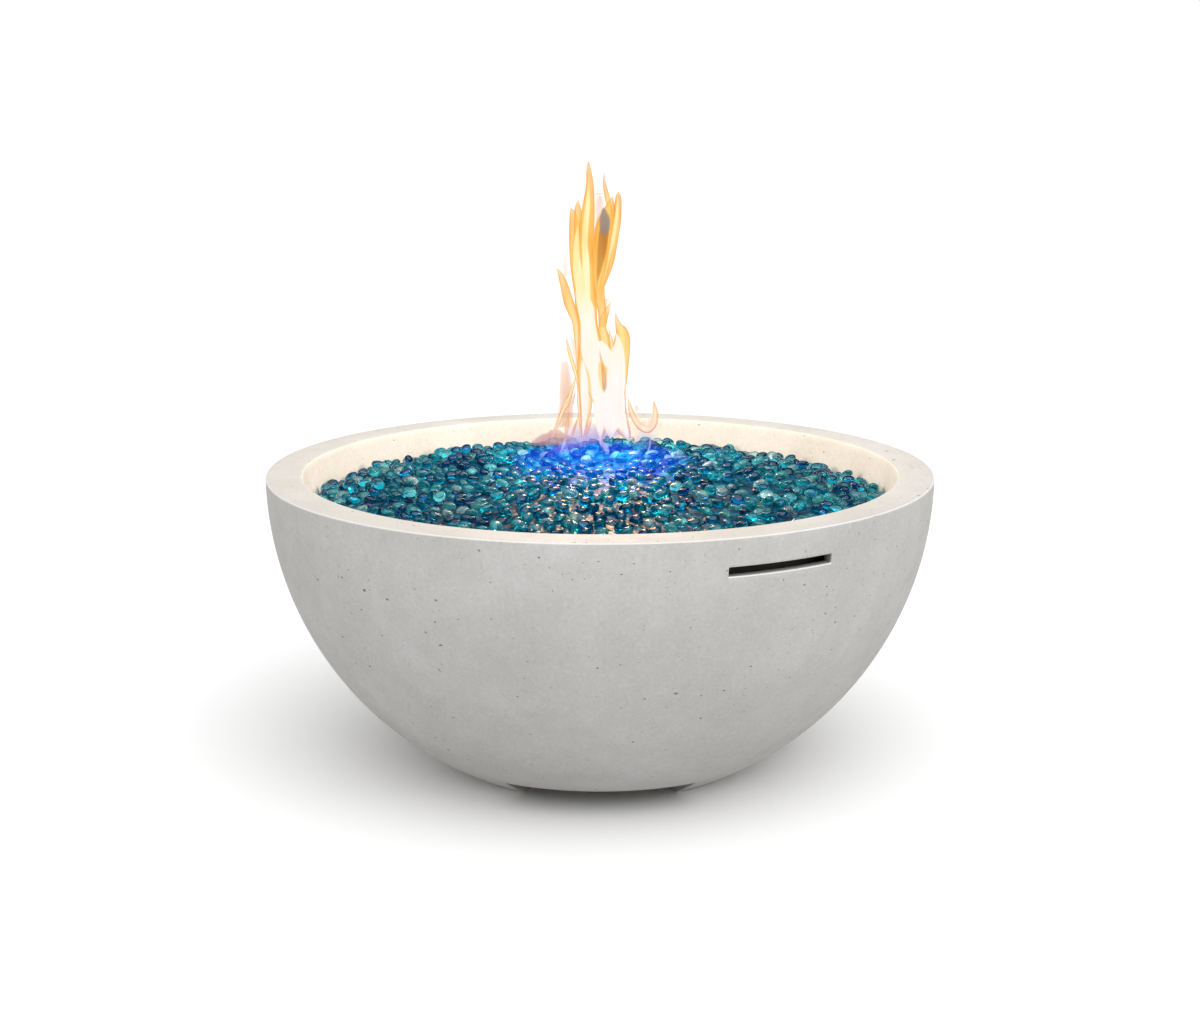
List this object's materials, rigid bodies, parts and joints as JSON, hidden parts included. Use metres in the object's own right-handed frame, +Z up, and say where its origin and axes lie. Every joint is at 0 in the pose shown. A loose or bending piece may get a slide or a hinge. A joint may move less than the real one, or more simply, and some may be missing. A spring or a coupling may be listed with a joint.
{
  "type": "gas fire bowl",
  "caption": "Round concrete gas fire bowl: a hemisphere on three cast feet, with a burner pan and gas burner under a mound of fire glass.",
  "frame": {"origin": "centre of the bowl's base, on the ground plane under the feet", "axes": "+Z up along the bowl's turned axis; -Y to the front, through the middle of the gap between the two front feet; +X to the right seen from the front"},
  "size_m": [0.9143, 0.9144, 0.421],
  "materials": {
    "concrete": "matte",
    "fire_glass": "gloss",
    "stainless_steel": "satin",
    "zinc_plated_steel": "satin",
    "cast_mixer": "matte",
    "steel_pipe": "satin",
    "brass": "satin",
    "chromed_ball": "polished",
    "seat_plastic": "matte",
    "lever_vinyl": "satin"
  },
  "bodies": {
    "fire_bowl": {"bowl": "concrete", "burner_pan": "stainless_steel", "burner_hub": "stainless_steel", "ring_tube_1": "stainless_steel", "ring_tube_2": "stainless_steel", "ring_tube_3": "stainless_steel", "ring_tube_4": "stainless_steel", "ring_tube_5": "stainless_steel", "ring_tube_6": "stainless_steel", "burner_spoke_1": "stainless_steel", "burner_spoke_2": "stainless_steel", "burner_spoke_3": "stainless_steel", "burner_spoke_4": "stainless_steel", "burner_spoke_5": "stainless_steel", "burner_spoke_6": "stainless_steel", "burner_bracket_1": "stainless_steel", "burner_bracket_2": "stainless_steel", "burner_bracket_3": "stainless_steel", "bracket_screws": "stainless_steel", "bracket_nuts": "stainless_steel", "hub_washer": "zinc_plated_steel", "hub_locknut": "zinc_plated_steel", "air_mixer": "cast_mixer", "orifice": "brass", "mixer_nipple": "steel_pipe", "valve_body": "brass", "valve_end": "brass", "upper_seat": "seat_plastic", "lower_seat": "seat_plastic", "packing_nut": "brass", "inlet_nipple": "steel_pipe", "inlet_coupling": "brass", "fire_glass": "fire_glass"},
    "lever": {"valve_lever": "zinc_plated_steel", "lever_sleeve": "lever_vinyl", "lever_nut": "zinc_plated_steel", "valve_stem": "brass", "valve_ball": "chromed_ball"},
    "shutter": {"air_shutter": "zinc_plated_steel", "shutter_thumbscrew": "zinc_plated_steel"}
  },
  "joints": [
    {"name": "valve_turn", "type": "hinge", "parent": "fire_bowl", "child": "lever", "pos_m": [0, -0.03, 0.139], "axis": [0, 1, 0], "range_deg": [0, 90]},
    {"name": "air_shutter_turn", "type": "hinge", "parent": "fire_bowl", "child": "shutter", "pos_m": [0, 0, 0.232], "axis": [0, 0, 1], "range_deg": [0, 45]}
  ]
}
